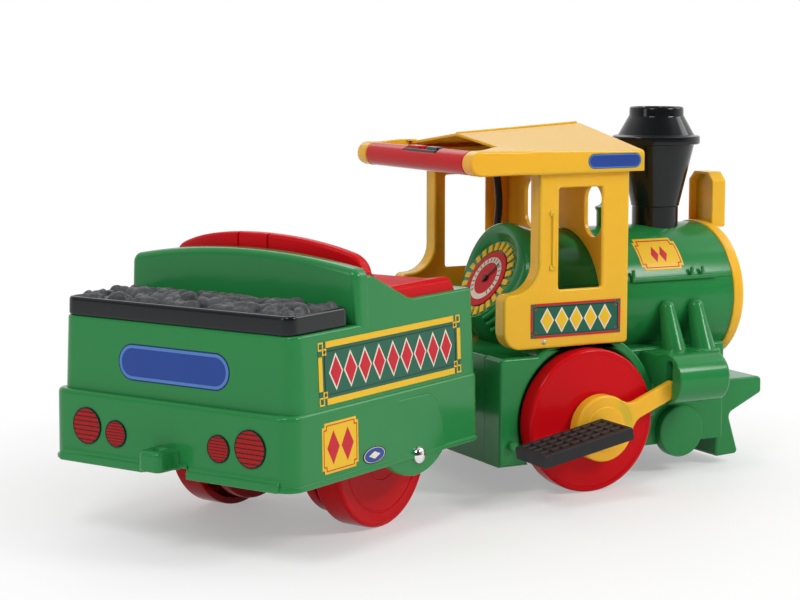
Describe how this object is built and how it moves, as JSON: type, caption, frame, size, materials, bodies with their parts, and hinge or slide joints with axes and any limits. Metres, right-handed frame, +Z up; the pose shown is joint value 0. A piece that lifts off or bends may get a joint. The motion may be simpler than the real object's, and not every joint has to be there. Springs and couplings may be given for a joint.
{
  "type": "ride on train",
  "caption": "Ride-on toy steam train with a jointed tender, moving side rods with foot platforms, a grip bar with push buttons and a lift-off coal lid.",
  "frame": {"origin": "on the floor under the middle of the bent train's outline", "axes": "+X forward along the locomotive, +Y to its left, +Z up"},
  "size_m": [1.1558, 0.7138, 0.566],
  "materials": {
    "green_plastic": "glossy moulded green",
    "yellow_plastic": "glossy moulded yellow",
    "red_plastic": "glossy moulded red",
    "black_plastic": "glossy moulded black",
    "coal": "satin moulded black",
    "dark_plastic": "satin black",
    "lead_rubber": "smooth black sheath",
    "nylon": "natural",
    "lens": "clear",
    "steel": "zinc plated",
    "chrome": "polished"
  },
  "bodies": {
    "loco": {"loco_body": "green_plastic", "boiler_top": "green_plastic", "backhead": "green_plastic", "gauge_plate": "red_plastic", "smokebox_front": "yellow_plastic", "headlamp_lens": "lens", "stack_base": "black_plastic", "stack_cap": "black_plastic", "steam_dome": "green_plastic", "cab_side_right": "yellow_plastic", "cab_side_left": "yellow_plastic", "cab_front": "yellow_plastic", "cab_roof": "yellow_plastic", "grip_bar": "red_plastic", "switch_plate": "black_plastic", "button_switches": "dark_plastic", "handle_lead": "lead_rubber", "sound_module": "dark_plastic", "speaker": "dark_plastic", "cab_screws": "chrome", "front_bushes": "dark_plastic"},
    "front_wheelset": {"front_axle": "steel", "front_wheel_right": "red_plastic", "front_wheel_left": "red_plastic"},
    "rod_right": {"side_rod_right": "yellow_plastic", "pedal_right": "black_plastic", "pedal_pins_right": "steel"},
    "rod_left": {"side_rod_left": "yellow_plastic", "pedal_left": "black_plastic", "pedal_pins_left": "steel"},
    "tender": {"tender_body": "green_plastic", "pivot_bolt": "steel", "pivot_nut": "steel", "pivot_washers": "steel", "seat": "red_plastic", "coal_bin": "dark_plastic", "tail_lights": "red_plastic", "rear_axle": "steel", "axle_caps": "chrome", "axle_spacers": "steel", "gearbox_right": "dark_plastic", "gearbox_left": "dark_plastic", "motor": "steel", "layshaft": "steel", "battery": "dark_plastic", "battery_strap": "dark_plastic", "seat_screws": "steel"},
    "rear_right": {"rear_wheel_right": "red_plastic", "wheel_disc_right": "red_plastic", "drive_gear": "nylon"},
    "rear_left": {"rear_wheel_left": "red_plastic", "wheel_disc_left": "red_plastic"},
    "lay": {"lay_gear": "nylon"},
    "rotor": {"motor_pinion": "steel"},
    "go": {"go_button": "black_plastic"},
    "sound": {"sound_button": "red_plastic"},
    "lid": {"coal_lid": "coal"}
  },
  "joints": [
    {"name": "tender_pivot", "type": "hinge", "parent": "loco", "child": "tender", "pos_m": [-0.03508, 0.05987, 0.135], "axis": [0, 0, 1], "range_deg": [-58, 2]},
    {"name": "front_axle_spin", "type": "hinge", "parent": "loco", "child": "front_wheelset", "pos_m": [0.20592, 0.05987, 0.108], "axis": [0, 1, 0], "continuous": true},
    {"name": "rod_right_turn", "type": "hinge", "parent": "front_wheelset", "child": "rod_right", "pos_m": [0.21512, -0.14013, 0.09881], "axis": [0, 1, 0], "continuous": true},
    {"name": "rod_left_turn", "type": "hinge", "parent": "front_wheelset", "child": "rod_left", "pos_m": [0.19673, 0.25987, 0.11719], "axis": [0, 1, 0], "continuous": true},
    {"name": "rear_wheel_right_spin", "type": "hinge", "parent": "tender", "child": "rear_right", "pos_m": [-0.23727, -0.04764, 0.108], "axis": [-0.4695, 0.8829, 0], "continuous": true},
    {"name": "rear_wheel_left_spin", "type": "hinge", "parent": "tender", "child": "rear_left", "pos_m": [-0.23727, -0.04764, 0.108], "axis": [-0.4695, 0.8829, 0], "continuous": true},
    {"name": "lay_gear_spin", "type": "hinge", "parent": "tender", "child": "lay", "pos_m": [-0.19124, -0.02316, 0.1381], "axis": [-0.4695, 0.8829, 0], "continuous": true},
    {"name": "motor_spin", "type": "hinge", "parent": "tender", "child": "rotor", "pos_m": [-0.15194, -0.00227, 0.13025], "axis": [-0.4695, 0.8829, 0], "continuous": true},
    {"name": "go_button_press", "type": "slide", "parent": "loco", "child": "go", "axis": [0, 0, -1], "range_m": [0, 0.003], "stiffness_N_per_m": 400, "springref_m": -0.002},
    {"name": "sound_button_press", "type": "slide", "parent": "loco", "child": "sound", "axis": [0, 0, -1], "range_m": [0, 0.003], "stiffness_N_per_m": 400, "springref_m": -0.002},
    {"name": "coal_lid_lift", "type": "slide", "parent": "tender", "child": "lid", "axis": [0, 0, 1], "range_m": [0, 0.08]}
  ],
  "couplings": [
    {"joint": "rod_right_turn", "follows": "front_axle_spin", "ratio": -1},
    {"joint": "rod_left_turn", "follows": "front_axle_spin", "ratio": -1},
    {"joint": "lay_gear_spin", "follows": "rear_wheel_right_spin", "ratio": -4},
    {"joint": "motor_spin", "follows": "rear_wheel_right_spin", "ratio": 16}
  ]
}
